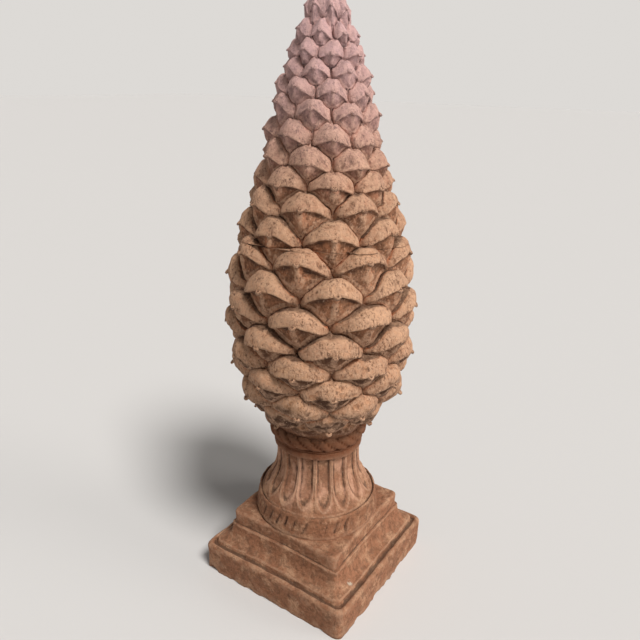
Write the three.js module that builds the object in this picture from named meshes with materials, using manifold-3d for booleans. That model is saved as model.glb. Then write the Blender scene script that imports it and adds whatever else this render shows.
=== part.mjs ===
// Pinecone finial in fired clay: a square plinth, a fluted neck and a tall cone of overlapping
// scales, built as two sections that meet at a level joint across the cone.
// Millimetres, +Z up, origin at the middle of the underside of the plinth. A bearing is measured
// from -Y towards +X, so that bearing 0 faces -Y and bearing 90 faces +X.
import * as THREE from 'three';
import { mergeVertices } from 'three/addons/utils/BufferGeometryUtils.js';
import Module from 'manifold-3d';

// Plinth: a slab, a hollow moulding that rises from it, and an upper block
const slabSide = 378;
const slabHeight = 72;
const slabCorner = 14;
const slabEdgeRound = 8;
const grooveDepth = 5;
const grooveHeight = 6;
const hollowHeight = 44;
const blockSide = 280;
const blockHeight = 34;
const blockCorner = 9;
const blockEdgeRound = 4;
const blockFilletHeight = 4;
const blockFilletWidth = 5;

// Round foot that stands on the block, with a groove above it
const footRadius = 141;
const footHeight = 53;
const footUndercut = 6;
const footGrooveDepth = 9;

// Fluted neck and the collar that closes it
const neckRadius = 92;
const neckHeight = 122;
const tongueCount = 16;
const tongueDepth = 5;
const tongueShare = 0.74;
const tongueBottomClear = 20;
const tongueRound = 26;
const tongueSlope = 0.13;
const collarHeight = 24;
const collarOverhang = 5;

// Twisted rope moulding under the cone
const ropeHeight = 30;
const ropeThickness = 20;
const ropeStrands = 22;
const ropeGroove = 3;
const ropeTwist = 0.55;

// Cone of scales
const coneHeight = 863;
const coneRadius = 203;
const scalesPerRow = 8;
const firstScaleBearing = 40.8;
const firstRowRise = 33;
const rowPitchBase = 20.4;
const rowPitchPerRadius = 0.161;
const reliefBase = 7;
const reliefPerRadius = 0.09;
const archRise = 0.12;
const lipPower = 0.55;
const keelPower = 0.9;
const facetScoop = 0.3;
const budRadius = 36;
const budHeight = 48;

// Rows near the tip run a little downhill, as the clay was pressed by hand
const rowTilt = 5;
const rowTiltBearing = 123;
const rowTiltFrom = 0.55;
const rowTiltTo = 0.75;

// Level joint between the two sections, above the top of the neck
const jointRise = 415;

// Fineness of the facets
const cornerSteps = 2;
const hollowSteps = 4;
const ropeSideSteps = 6;
const ropeStepsPerStrand = 2;
const scaleSteps = 4;
const budSteps = 4;

const clayLower = { color: 0x9c6547, roughness: 0.93, metalness: 0 };
const clayUpper = { color: 0xa9745a, roughness: 0.93, metalness: 0 };

// Levels that follow from the sizes above
const hollowBottom = slabHeight + grooveHeight;
const blockBottom = hollowBottom + hollowHeight;
const footBottom = blockBottom + blockHeight;
const footTop = footBottom + footHeight;
const tongueBottom = footTop + tongueBottomClear;
const collarBottom = footTop + neckHeight;
const collarTop = collarBottom + collarHeight;
const ropeMiddle = collarTop + ropeHeight / 2;
const coneBottom = collarTop + ropeHeight;
const jointLevel = coneBottom + jointRise;
const apex = coneBottom + coneHeight;

const wasm = await Module();
wasm.setup();

const radians = THREE.MathUtils.degToRad;
const smoothstep = THREE.MathUtils.smoothstep;

// A place from its distance to the axis, its bearing in radians and its level
function around(radius, bearing, level) {
  return [radius * Math.sin(bearing), -radius * Math.cos(bearing), level];
}

// A smooth curve through a few points [x, y], read as y at any x
function curveThrough(points) {
  const spline = new THREE.SplineCurve(points.map(([x, y]) => new THREE.Vector2(x, y)));
  const samples = spline.getPoints(400);
  return (x) => {
    const clamped = THREE.MathUtils.clamp(x, samples[0].x, samples.at(-1).x);
    const next = Math.max(1, samples.findIndex((sample) => sample.x >= clamped));
    const [before, after] = [samples[next - 1], samples[next]];
    const part = (clamped - before.x) / (after.x - before.x);
    return THREE.MathUtils.lerp(before.y, after.y, part);
  };
}

function geometryOf(positions, triangles) {
  const geometry = new THREE.BufferGeometry();
  geometry.setAttribute('position', new THREE.Float32BufferAttribute(positions.flat(), 3));
  geometry.setIndex(triangles.flat());
  return geometry;
}

// A closed body of rings with the same number of points, listed from the bottom up, each ring
// running anticlockwise seen from above
function stackOfRings(rings) {
  const count = rings[0].length;
  const positions = rings.flat();
  const triangles = [];
  for (let level = 0; level + 1 < rings.length; level += 1) {
    for (let step = 0; step < count; step += 1) {
      const a = level * count + step;
      const b = level * count + (step + 1) % count;
      triangles.push([a, b, b + count], [a, b + count, a + count]);
    }
  }
  const last = (rings.length - 1) * count;
  for (let step = 1; step + 1 < count; step += 1) {
    triangles.push([0, step + 1, step], [last, last + step, last + step + 1]);
  }
  return geometryOf(positions, triangles);
}

function solidOf(geometry) {
  geometry.deleteAttribute('normal');
  geometry.deleteAttribute('uv');
  const merged = mergeVertices(geometry, 1e-3);
  return new wasm.Manifold(new wasm.Mesh({
    numProp: 3,
    vertProperties: merged.attributes.position.array,
    triVerts: new Uint32Array(merged.index.array),
  }));
}

function meshOf(name, solid, clay) {
  const cut = solid.getMesh();
  const geometry = new THREE.BufferGeometry();
  geometry.setAttribute('position', new THREE.BufferAttribute(cut.vertProperties, 3));
  geometry.setIndex(new THREE.BufferAttribute(cut.triVerts, 1));
  geometry.computeVertexNormals();
  const mesh = new THREE.Mesh(geometry, new THREE.MeshStandardMaterial(clay));
  mesh.name = name;
  return mesh;
}

// One level outline of the plinth: a square with rounded corners
function squareRing(level, half, corner) {
  const ring = [];
  for (let side = 0; side < 4; side += 1) {
    for (let step = 0; step <= cornerSteps; step += 1) {
      const turn = radians(90 * (side + step / cornerSteps));
      const quarter = radians(90 * side + 45);
      const centre = (half - corner) * Math.SQRT2;
      ring.push([
        centre * Math.cos(quarter) + corner * Math.cos(turn),
        centre * Math.sin(quarter) + corner * Math.sin(turn),
        level,
      ]);
    }
  }
  return ring;
}

// Slab with a rounded top edge, groove, hollow moulding and block
function plinthSolid() {
  const slabHalf = slabSide / 2;
  const blockHalf = blockSide / 2;
  const hollowHalf = slabHalf - slabEdgeRound;
  const blockFillet = blockHalf + blockFilletWidth;
  const rings = [
    squareRing(0, slabHalf, slabCorner),
    squareRing(slabHeight - slabEdgeRound, slabHalf, slabCorner),
    squareRing(slabHeight - slabEdgeRound * 0.3, slabHalf - slabEdgeRound * 0.3, slabCorner),
    squareRing(slabHeight, slabHalf - slabEdgeRound, slabCorner),
    squareRing(slabHeight, hollowHalf - grooveDepth, slabCorner),
    squareRing(hollowBottom, hollowHalf - grooveDepth, slabCorner),
  ];
  for (let step = 0; step <= hollowSteps; step += 1) {
    const turn = radians(90 * step / hollowSteps);
    const half = THREE.MathUtils.lerp(hollowHalf, blockFillet, Math.sin(turn));
    const level = hollowBottom + (hollowHeight - blockFilletHeight) * (1 - Math.cos(turn));
    const corner = THREE.MathUtils.lerp(slabCorner, blockCorner, Math.sin(turn));
    rings.push(squareRing(level, half, corner));
  }
  rings.push(
    squareRing(blockBottom, blockFillet, blockCorner),
    squareRing(blockBottom, blockHalf, blockCorner),
    squareRing(footBottom - blockEdgeRound, blockHalf, blockCorner),
    squareRing(footBottom, blockHalf - blockEdgeRound, blockCorner),
  );
  return solidOf(stackOfRings(rings));
}

// Half width of a tongue as a share of half its pitch: full width up the neck, and closing round
// in a U over its lowest part
function tongueHalfShare(level) {
  const rise = THREE.MathUtils.clamp((level - tongueBottom) / tongueRound, 0, 1);
  return Math.max(0.16, tongueShare * Math.sqrt(1 - (1 - rise) ** 2));
}

// Foot, groove, flared neck with sunk tongues, collar, and the plain stem inside rope and cone
function stemSolid() {
  const flare = curveThrough([
    [0, 0.42], [0.13, 0.335], [0.22, 0.235], [0.34, 0.12], [0.52, 0.025], [0.75, 0], [1, 0.01],
  ]);
  const neckAt = (level) => neckRadius * (1 + flare((level - footTop) / neckHeight));
  const footProfile = [
    [footBottom - 5, footRadius - footUndercut, 0],
    [footBottom + footHeight * 0.35, footRadius, 0],
    [footTop - 15, footRadius - 1, 0],
    [footTop - 11, footRadius - 4, 0],
    [footTop - 6, footRadius - 1, 0],
    [footTop - 1, footRadius - 3, 0],
    [footTop + 1, footRadius - footGrooveDepth, 0],
  ];
  const neckRises = [-8, 0, 5, 12, 22, 38, 62];
  const neckProfile = neckRises.map((rise) => [
    tongueBottom + rise,
    neckAt(tongueBottom + rise),
    rise > 0 ? tongueDepth : 0,
  ]);
  const collarRadius = neckAt(collarBottom) + collarOverhang;
  const collarProfile = [
    [collarBottom, neckAt(collarBottom), tongueDepth],
    [collarBottom, collarRadius, 0],
    [collarTop - 8, collarRadius - 1, 0],
    [collarTop - 6, collarRadius - 4, 0],
    [collarTop - 3, collarRadius + 1, 0],
    [coneBottom + 34, collarRadius, 0],
  ];
  const pitch = 2 * Math.PI / tongueCount;
  const evenColumns = [[-0.75, 0], [-0.25, 0], [0.25, 0], [0.75, 0]];
  const rings = [...footProfile, ...neckProfile, ...collarProfile].map(([level, radius, depth]) => {
    const ring = [];
    const edge = tongueHalfShare(level);
    const floor = edge - tongueSlope;
    const columns = depth > 0 ? [[-edge, 0], [-floor, 1], [floor, 1], [edge, 0]] : evenColumns;
    for (let tongue = 0; tongue < tongueCount; tongue += 1) {
      const middle = radians(firstScaleBearing) + tongue * pitch;
      for (const [share, sunk] of columns) {
        ring.push(around(radius - depth * sunk, middle + share * pitch / 2, level));
      }
    }
    return ring;
  });
  return solidOf(stackOfRings(rings));
}

// A ring of slanting strands with sharp grooves between them
function ropeSolid() {
  const steps = ropeStrands * ropeStepsPerStrand;
  const middleRadius = neckRadius + collarOverhang;
  const positions = [];
  const triangles = [];
  for (let step = 0; step < steps; step += 1) {
    const bearing = 2 * Math.PI * step / steps;
    for (let side = 0; side < ropeSideSteps; side += 1) {
      const turn = 2 * Math.PI * side / ropeSideSteps;
      const strand = ropeStrands * bearing / 2 + ropeTwist * Math.PI * Math.sin(turn);
      const swell = ropeGroove * (Math.abs(Math.sin(strand)) - 1);
      positions.push(around(
        middleRadius + (ropeThickness / 2 + swell) * Math.cos(turn),
        bearing,
        ropeMiddle + (ropeHeight / 2 + swell) * Math.sin(turn),
      ));
      const here = step * ropeSideSteps;
      const next = ((step + 1) % steps) * ropeSideSteps;
      const above = (side + 1) % ropeSideSteps;
      triangles.push([here + side, next + side, next + above]);
      triangles.push([here + side, next + above, here + above]);
    }
  }
  return solidOf(geometryOf(positions, triangles));
}

// Outline over the tips of the scales, as shares of the cone's height and largest radius
const tipOutline = curveThrough([
  [0, 0.52], [0.04, 0.7], [0.104, 0.87], [0.18, 0.955], [0.294, 1], [0.404, 0.962], [0.513, 0.833],
  [0.659, 0.631], [0.8, 0.468], [0.908, 0.3], [0.97, 0.18], [1, 0.1],
]);

function tipRadius(level) {
  return coneRadius * tipOutline((level - coneBottom) / coneHeight);
}

// A point of the cone's surface: lift 1 is on the outline of the tips, lift 0 in the valleys
function conePoint(bearing, level, lift) {
  const slope = (tipRadius(level + 2) - tipRadius(level - 2)) / 4;
  const steepness = Math.hypot(1, slope);
  const sunk = (1 - lift) * (reliefBase + reliefPerRadius * tipRadius(level));
  const radius = tipRadius(level) - sunk / steepness;
  const [x, y, z] = around(radius, bearing, level + sunk * slope / steepness);
  const height = (level - coneBottom) / coneHeight;
  const tilt = Math.tan(radians(rowTilt)) * smoothstep(height, rowTiltFrom, rowTiltTo);
  const [downhillX, downhillY] = around(1, radians(rowTiltBearing), 0);
  return [x, y, z - tilt * (x * downhillX + y * downhillY)];
}

// Levels at which the corners of neighbouring scales meet, from the top down
function cornerLevels() {
  const pitchAt = (level) => rowPitchBase + rowPitchPerRadius * tipRadius(level);
  const levels = [coneBottom + firstRowRise];
  while (levels.at(-1) < apex - budHeight) {
    const level = levels.at(-1);
    levels.push(level + pitchAt(level + pitchAt(level) / 2));
  }
  levels.unshift(levels[0] - pitchAt(levels[0]), levels[0] - pitchAt(levels[0]) * 0.5);
  levels.sort((low, high) => high - low);
  return levels;
}

// How far a scale stands out of the valleys. The place in the scale runs from 0 to 1 from its top
// corner along its right edge (s) and along its left edge (t); the tip is in the middle. The upper
// half is a pillow. The lower half is two scooped facets that meet in a keel under the tip.
function scaleLift(s, t) {
  const across = s - t;
  const down = s + t - 1;
  if (down <= 0) {
    return (16 * s * (1 - s) * t * (1 - t)) ** lipPower;
  }
  const away = Math.abs(across) + Math.abs(down);
  const keelShare = Math.abs(down) / away;
  const lip = (1 - away * away) ** (2 * lipPower);
  const keel = (1 - away) ** keelPower;
  const scoop = facetScoop * 16 * keelShare * (1 - keelShare) * away * (1 - away);
  return Math.max(0, lip * (1 - keelShare) + keel * keelShare - scoop);
}

// All scales as one skin. Corner (i, j) of the grid is on edge lines that run down to the right
// (i) and down to the left (j); each scale is one square of the grid.
function coneSolid() {
  const levels = cornerLevels();
  const places = new Map();
  const positions = [];
  const triangles = [];
  const turnSteps = scalesPerRow * scaleSteps;
  const levelAt = (row) => levels[THREE.MathUtils.clamp(row, 0, levels.length - 1)];
  const place = (i, j) => {
    const turns = Math.floor((i - j) / (2 * turnSteps));
    const [right, left] = [i - turns * turnSteps, j + turns * turnSteps];
    const key = `${right},${left}`;
    if (!places.has(key)) {
      const [a, b] = [right / scaleSteps, left / scaleSteps];
      const [s, t] = [a - Math.floor(a), b - Math.floor(b)];
      const top = Math.floor(a) + Math.floor(b);
      const upper = THREE.MathUtils.lerp(levelAt(top), levelAt(top + 1), s);
      const lower = THREE.MathUtils.lerp(levelAt(top + 1), levelAt(top + 2), s);
      const flat = THREE.MathUtils.lerp(upper, lower, t);
      const pitch = rowPitchBase + rowPitchPerRadius * tipRadius(flat);
      const arch = archRise * pitch * (4 * s * (1 - s) + 4 * t * (1 - t));
      const bearing = radians(firstScaleBearing) + (a - b) * Math.PI / scalesPerRow;
      positions.push(conePoint(bearing, flat + arch, scaleLift(s, t)));
      places.set(key, positions.length - 1);
    }
    return places.get(key);
  };
  const rowCount = levels.length - 2;
  for (let row = 0; row < rowCount; row += 1) {
    for (let scale = 0; scale < scalesPerRow; scale += 1) {
      const cornerI = Math.floor(row / 2) + scale + row % 2;
      const cornerJ = Math.floor(row / 2) - scale;
      for (let down = 0; down < scaleSteps; down += 1) {
        for (let side = 0; side < scaleSteps; side += 1) {
          const i = cornerI * scaleSteps + down;
          const j = cornerJ * scaleSteps + side;
          const [top, right] = [place(i, j), place(i + 1, j)];
          const [left, bottom] = [place(i, j + 1), place(i + 1, j + 1)];
          if (down + side < scaleSteps) {
            triangles.push([top, left, right], [right, left, bottom]);
          } else {
            triangles.push([top, left, bottom], [top, bottom, right]);
          }
        }
      }
    }
  }
  // Close the jagged upper and lower edges with fans inside the bud and the stem
  const open = new Map();
  const sideKey = (from, to) => `${from},${to}`;
  for (const [a, b, c] of triangles) {
    open.set(sideKey(a, b), [a, b]);
    open.set(sideKey(b, c), [b, c]);
    open.set(sideKey(c, a), [c, a]);
  }
  const topMiddle = positions.length;
  const bottomMiddle = topMiddle + 1;
  positions.push([0, 0, levels[1]], [0, 0, levels.at(-2)]);
  const halfway = (levels[1] + levels.at(-2)) / 2;
  for (const [from, to] of open.values()) {
    if (!open.has(sideKey(to, from))) {
      triangles.push([to, from, positions[from][2] > halfway ? topMiddle : bottomMiddle]);
    }
  }
  return solidOf(geometryOf(positions, triangles));
}

// Plain rounded bud that finishes the cone
function budSolid() {
  const profile = [new THREE.Vector2(0, apex - 1.4 * budHeight)];
  for (let step = -1; step <= budSteps; step += 1) {
    const rise = Math.max(0, step / budSteps);
    const level = step < 0 ? apex - 1.4 * budHeight : apex - budHeight * (1 - rise);
    profile.push(new THREE.Vector2(budRadius * (1 - rise ** 1.8) ** 0.8, level));
  }
  const geometry = new THREE.LatheGeometry(profile, 2 * scalesPerRow);
  geometry.rotateX(Math.PI / 2);
  return solidOf(geometry);
}

// A box that takes in all of the finial above or below the joint
function sideOfJoint(above) {
  const reach = 4 * Math.max(coneRadius, slabSide);
  const box = new THREE.BoxGeometry(reach, reach, apex);
  box.translate(0, 0, jointLevel + (above ? apex / 2 : -apex / 2));
  return solidOf(box);
}

const scales = coneSolid();
const lower = plinthSolid().add(stemSolid()).add(ropeSolid()).add(scales.intersect(sideOfJoint(false)));
const upper = scales.intersect(sideOfJoint(true)).add(budSolid());

const finial = new THREE.Group();
finial.add(meshOf('lower_section', lower, clayLower));
finial.add(meshOf('upper_section', upper, clayUpper));

export default finial;
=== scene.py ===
# %% [markdown]
# A pinecone finial in fired clay, about 1.24 m tall. The real one was built by hand in two
# sections: a square plinth with a fluted neck and the lower scales, and a tapering top that sits
# on a level joint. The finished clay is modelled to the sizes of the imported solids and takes
# their place. Everything is in metres, and a bearing is an angle around the upright axis, from -Y
# towards +X.

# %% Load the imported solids
import math
import random

import bmesh
import bpy
import numpy as np
from mathutils import Matrix, Vector, noise


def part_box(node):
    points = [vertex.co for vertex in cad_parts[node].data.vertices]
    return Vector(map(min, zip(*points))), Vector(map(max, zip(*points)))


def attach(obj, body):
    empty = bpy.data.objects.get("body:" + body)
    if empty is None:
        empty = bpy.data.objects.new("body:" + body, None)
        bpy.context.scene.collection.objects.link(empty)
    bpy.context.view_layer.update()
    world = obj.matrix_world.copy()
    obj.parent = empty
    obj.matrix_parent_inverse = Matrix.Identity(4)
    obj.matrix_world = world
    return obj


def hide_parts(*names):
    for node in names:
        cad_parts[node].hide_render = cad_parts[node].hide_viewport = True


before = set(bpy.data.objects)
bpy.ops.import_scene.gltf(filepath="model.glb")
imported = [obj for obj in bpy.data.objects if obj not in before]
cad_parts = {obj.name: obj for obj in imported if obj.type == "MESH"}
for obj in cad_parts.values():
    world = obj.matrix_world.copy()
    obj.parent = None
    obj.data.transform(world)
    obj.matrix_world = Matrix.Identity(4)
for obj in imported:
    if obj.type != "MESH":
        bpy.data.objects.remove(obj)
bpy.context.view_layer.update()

_, top_of_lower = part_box("lower_section")
foot_of_upper, top_of_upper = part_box("upper_section")
apex = top_of_upper.z

# %% [markdown]
# A few helpers are used by every step. An operator acts on whatever is selected, so each step
# starts with nothing selected. Faces and edges are picked by a test on their place, as one would
# click them. The points of a mesh are read and written as one array, which is how clay is pushed
# about where no operator makes the shape. The noise is smooth in space and the same on each run.
# Noise vectors would start from the clock, so their seed is set.

# %% Helpers for picking and pushing
noise.seed_set(11)


def start_clean():
    if bpy.context.mode != "OBJECT":
        bpy.ops.object.mode_set(mode="OBJECT")
    bpy.ops.object.select_all(action="DESELECT")


def only(*pieces):
    start_clean()
    for piece in pieces:
        piece.select_set(True)
    bpy.context.view_layer.objects.active = pieces[0]


def edit(piece):
    """Opens one piece in edit mode, with all of it selected."""
    only(piece)
    bpy.ops.object.mode_set(mode="EDIT")
    bpy.ops.mesh.select_all(action="SELECT")


def named(name):
    """Names the piece that an operator has just made."""
    bpy.context.object.name = name
    return bpy.context.object


def copy_of(piece):
    twin = piece.copy()
    twin.data = piece.data.copy()
    bpy.context.scene.collection.objects.link(twin)
    return twin


def pick(piece, kind, test):
    """In edit mode, selects the verts, edges or faces that pass the test, and nothing else."""
    bpy.ops.mesh.select_mode(type={"verts": "VERT", "edges": "EDGE", "faces": "FACE"}[kind])
    bpy.ops.mesh.select_all(action="DESELECT")
    shape = bmesh.from_edit_mesh(piece.data)
    for part in getattr(shape, kind):
        if test(part):
            part.select_set(True)
    bmesh.update_edit_mesh(piece.data)


def points_of(piece):
    flat = np.empty(3 * len(piece.data.vertices))
    piece.data.vertices.foreach_get("co", flat)
    return flat.reshape(-1, 3)


def set_points(piece, points):
    piece.data.vertices.foreach_set("co", points.ravel())
    piece.data.update()


def around(radius, bearing, level):
    """Points from their distance to the axis, their bearing in radians and their level."""
    return np.stack([radius * np.sin(bearing), -radius * np.cos(bearing), level], axis=-1)


def bearings_and_radii(points):
    return np.arctan2(points[:, 0], -points[:, 1]), np.hypot(points[:, 0], points[:, 1])


def eased(value, start, end):
    """Runs softly from 0 at the start to 1 at the end, which may also be the lower value."""
    share = np.clip((value - start) / (end - start), 0, 1)
    return share * share * (3 - 2 * share)


def drift(x, y=0.0, z=0.0):
    """A smooth random number between -1 and 1 for each place."""
    return np.array([noise.noise(Vector(place)) for place in np.broadcast(x, y, z)])


def bump(off, width):
    """1 where off is 0, falling softly to nothing a few widths away."""
    return np.exp(-(off / width) ** 2)


# %% [markdown]
# The photograph was taken from about chest height, close to the finial, looking a little down,
# so the cone narrows strongly upwards. The camera stands where the tips of the scales and the
# corners of the plinth line up with the photograph.

# %% Camera
camera_bearing = math.radians(33.3)
camera_distance = 1.219
camera_height = 1.092
camera_pitch = math.radians(21.3)
camera_yaw = math.radians(-0.11)
camera_roll = math.radians(1.18)
focal_pixels = 619.4
image_side = 640

forward = Vector((
    math.sin(camera_yaw) * math.cos(camera_pitch),
    math.cos(camera_yaw) * math.cos(camera_pitch),
    -math.sin(camera_pitch),
))
level_right = forward.cross(Vector((0, 0, 1))).normalized()
level_up = level_right.cross(forward)
right = math.cos(camera_roll) * level_right + math.sin(camera_roll) * level_up
up = math.cos(camera_roll) * level_up - math.sin(camera_roll) * level_right
turn = Matrix.Rotation(camera_bearing, 3, "Z")
view = Matrix((turn @ right, turn @ up, turn @ -forward)).transposed().to_4x4()
view.translation = turn @ Vector((0, -camera_distance, camera_height))

camera = bpy.data.objects.new("camera", bpy.data.cameras.new("camera"))
camera.data.sensor_width = 36
camera.data.lens = focal_pixels / image_side * camera.data.sensor_width
camera.matrix_world = view
bpy.context.scene.collection.objects.link(camera)
bpy.context.scene.camera = camera
print("camera at", [round(value, 3) for value in view.translation])

# %% [markdown]
# The plinth was pressed in one square mould: a slab with a rounded top edge, a groove, a hollow
# that sweeps up, a thin fillet and a block. It starts as a cube of the slab's size. The corners
# are bevelled, and the top face is then pulled up and resized layer by layer, which is the
# quickest way to a square moulding.

# %% Plinth
slab_side = 0.378
slab_height = 0.072
slab_corner = 0.017
slab_edge_round = 0.0075
groove_depth = 0.0055
groove_width = 0.0105
groove_height = 0.006
hollow_height = 0.044
block_side = 0.280
block_height = 0.034
block_edge_round = 0.005
fillet_width = 0.005
fillet_height = 0.004
hollow_bottom = slab_height + groove_height
block_bottom = hollow_bottom + hollow_height
block_top = block_bottom + block_height


def quarter_turn(steps):
    return [(math.sin(math.pi / 2 * step / steps), math.cos(math.pi / 2 * step / steps))
            for step in range(steps + 1)]


def plinth_layers():
    """Each layer as its level and the half side of the square there, from the slab's side up."""
    slab_half, block_half = slab_side / 2, block_side / 2
    rim, lip = slab_half - slab_edge_round, block_half + fillet_width
    layers = [(slab_height - slab_edge_round * (1 - sine), rim + slab_edge_round * cosine)
              for sine, cosine in quarter_turn(4)[1:]]
    inner_rim = rim - groove_width
    groove_floor = slab_height - groove_depth
    layers += [(slab_height - 0.0005, rim - 0.0010), (groove_floor, rim - 0.0045)]
    layers += [(groove_floor + 0.0005, rim - 0.0075), (hollow_bottom - 0.003, inner_rim)]
    sweep_bottom = hollow_bottom + 0.001
    sweep = block_bottom - fillet_height - sweep_bottom
    layers += [(sweep_bottom + sweep * (1 - cosine), inner_rim - (inner_rim - lip) * sine)
               for sine, cosine in quarter_turn(8)]
    layers += [(block_bottom, lip), (block_bottom + 0.001, block_half)]
    layers += [(block_top - block_edge_round * (1 - sine), block_half - block_edge_round * (1 - cosine))
               for sine, cosine in quarter_turn(3)]
    return layers


start_clean()
bpy.ops.mesh.primitive_cube_add(
    size=1, location=(0, 0, (slab_height - slab_edge_round) / 2),
    scale=(slab_side, slab_side, slab_height - slab_edge_round),
)
plinth = named("plinth")
bpy.ops.object.transform_apply(location=True, rotation=False, scale=True)
edit(plinth)
pick(plinth, "edges", lambda edge: abs(edge.verts[0].co.z - edge.verts[1].co.z) > slab_height / 2)
bpy.ops.mesh.bevel(offset=slab_corner, segments=4, affect="EDGES")
pick(plinth, "faces", lambda face: face.normal.z > 0.9)
level, half = slab_height - slab_edge_round, slab_side / 2
for next_level, next_half in plinth_layers():
    bpy.ops.mesh.extrude_region_move(TRANSFORM_OT_translate={"value": (0, 0, next_level - level)})
    bpy.ops.transform.resize(value=(next_half / half, next_half / half, 1))
    level, half = next_level, next_half
bpy.ops.object.mode_set(mode="OBJECT")
print("plinth top at", round(level, 3), "half side", round(half, 3))

# %% [markdown]
# Knocks and wear need points to move, and long flat faces have none. The plinth is cut through
# by level and upright planes, a little under a centimetre apart, as a cheese is cut in cubes.
# Bisect does that and keeps every moulding edge where it is.

# %% Cut the plinth fine enough to wear
strip = 0.0088


def cut_in_strips(piece, step):
    points = points_of(piece)
    low, high = points.min(axis=0), points.max(axis=0)
    edit(piece)
    for axis in range(3):
        straight = [float(axis == other) for other in range(3)]
        for place in np.arange(low[axis] + step / 2, high[axis], step):
            bpy.ops.mesh.select_all(action="SELECT")
            bpy.ops.mesh.bisect(plane_co=[place * part for part in straight], plane_no=straight)
    bpy.ops.object.mode_set(mode="OBJECT")


cut_in_strips(plinth, strip)
print("plinth faces", len(plinth.data.polygons))

# %% [markdown]
# Hand-made clay is never true. Every piece gets the same slow wobble of a few millimetres, read
# from one smooth noise in space, so that pieces that touch move together. Chips are bites: points
# inside a small ball are pushed out to its surface, away from its middle, which leaves a scoop.

# %% Wobble and bites
wobble_reach = 0.0035
wobble_size = 0.16
dent_reach = 0.0011
dent_size = 0.015


def wobble(points, reach=wobble_reach, size=wobble_size):
    push = [noise.noise_vector(Vector(point) / size) for point in points]
    return points + reach * np.array(push)


def bite(points, middle, radius):
    away = points - np.array(middle)
    distance = np.linalg.norm(away, axis=1)
    inside = distance < radius
    push = (radius / np.maximum(distance[inside], 1e-6))[:, None]
    points[inside] = np.array(middle) + away[inside] * push
    return points


# %% [markdown]
# The lower edge of the slab is the most knocked about: it is nibbled all along, and a few larger
# pieces are gone. The bites are scattered along the edge from a fixed seed, with their middles
# just outside the clay, so that most of them only graze it.

# %% Worn plinth
edge_bites = 72
edge_bite_radius = (0.010, 0.026)
large_bites = [(-0.170, -0.205, -0.004, 0.024), (0.205, -0.115, -0.006, 0.022)]
corner_bites = [
    (0.147, -0.154, 0.158, 0.017), (-0.207, -0.207, 0.030, 0.030), (-0.200, -0.200, -0.004, 0.024),
    (0.206, 0.204, 0.060, 0.020), (-0.151, 0.149, 0.158, 0.015),
]


def wear_plinth(points):
    chance = random.Random(7)
    half = slab_side / 2
    for count in range(edge_bites):
        along = chance.uniform(-half, half)
        radius = chance.uniform(*edge_bite_radius)
        outside = half + radius * chance.uniform(0.66, 0.92)
        level = -radius * chance.uniform(0.10, 0.55)
        side = [(along, -outside), (outside, along), (-along, outside), (-outside, -along)][count % 4]
        points = bite(points, (*side, level), radius)
    for x, y, z, radius in large_bites + corner_bites:
        points = bite(points, (x, y, z), radius)
    points[:, 2] = np.maximum(points[:, 2], 0)
    return points


grounded = points_of(plinth)
worn = wear_plinth(wobble(wobble(grounded, dent_reach, dent_size)))
worn[grounded[:, 2] < 0.0005, 2] = 0
set_points(plinth, worn)
print("plinth box", worn.min(axis=0).round(3), worn.max(axis=0).round(3))

# %% [markdown]
# Foot and neck were turned on a wheel, so both are drawn as half an outline and spun about the
# axis. An outline is a soft curve through a few corners. It starts and ends on the axis, which
# closes the ends inside the clay around them.

# %% Spinning an outline
def smooth_outline(corners, pieces):
    """A soft curve through a few (radius, level) corners, with this many points per stretch."""
    ends = [corners[0], *corners, corners[-1]]
    curve = []
    for before, start, end, after in zip(ends, ends[1:], ends[2:], ends[3:]):
        for piece in range(pieces):
            w = piece / pieces
            curve.append(tuple(
                0.5 * (2 * b + (c - a) * w + (2 * a - 5 * b + 4 * c - d) * w ** 2
                       + (3 * b - a - 3 * c + d) * w ** 3)
                for a, b, c, d in zip(before, start, end, after)
            ))
    return [*curve, corners[-1]]


def spin_outline(name, outline, steps):
    start_clean()
    drawing = bpy.data.meshes.new(name)
    sides = [(index, index + 1) for index in range(len(outline) - 1)]
    drawing.from_pydata([(0, -radius, level) for radius, level in outline], sides, [])
    piece = bpy.data.objects.new(name, drawing)
    bpy.context.scene.collection.objects.link(piece)
    edit(piece)
    bpy.ops.mesh.spin(steps=steps, angle=2 * math.pi, center=(0, 0, 0), axis=(0, 0, 1))
    bpy.ops.mesh.select_all(action="SELECT")
    bpy.ops.mesh.remove_doubles(threshold=1e-5)
    bpy.ops.mesh.normals_make_consistent(inside=False)
    bpy.ops.object.mode_set(mode="OBJECT")
    return piece


# %% [markdown]
# The foot is a rounded band, and a shallow groove parts it from the neck. The potter nicked the
# band all round with a knife, and the nicks are uneven: sharp in front on the left, elsewhere
# nearly worn away. They are pressed into the spun band as narrow slanting cuts. The function also
# returns how deep each point was cut and where the groove runs, which the colours use as painted
# shade and grime.

# %% Foot
foot_radius = 0.141
foot_height = 0.053
foot_top = block_top + foot_height
nick_count = 38
nick_depth = 0.0052
nick_width = 0.0024
nick_slant = -2.6
nick_wander = 0.0012
sharp_nicks_bearing = math.radians(10)
groove_inset = 0.0135
groove_grime_and_shade = 0.8

foot_profile = [
    (0.004, -0.006), (0, 0.005), (0.0005, 0.014), (0.002, 0.026), (0.004, 0.038),
    (0.005, 0.045), (0.0065, 0.0500), (0.0085, 0.0520), (0.0105, 0.0508), (0.0130, 0.0478),
]
foot_corners = [(foot_radius - inset, block_top + rise) for inset, rise in foot_profile]
foot_outline = [(0, block_top - 0.006), *smooth_outline(foot_corners, 3), (0, block_top + 0.047)]
foot = spin_outline("foot", foot_outline, 8 * nick_count)


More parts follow.
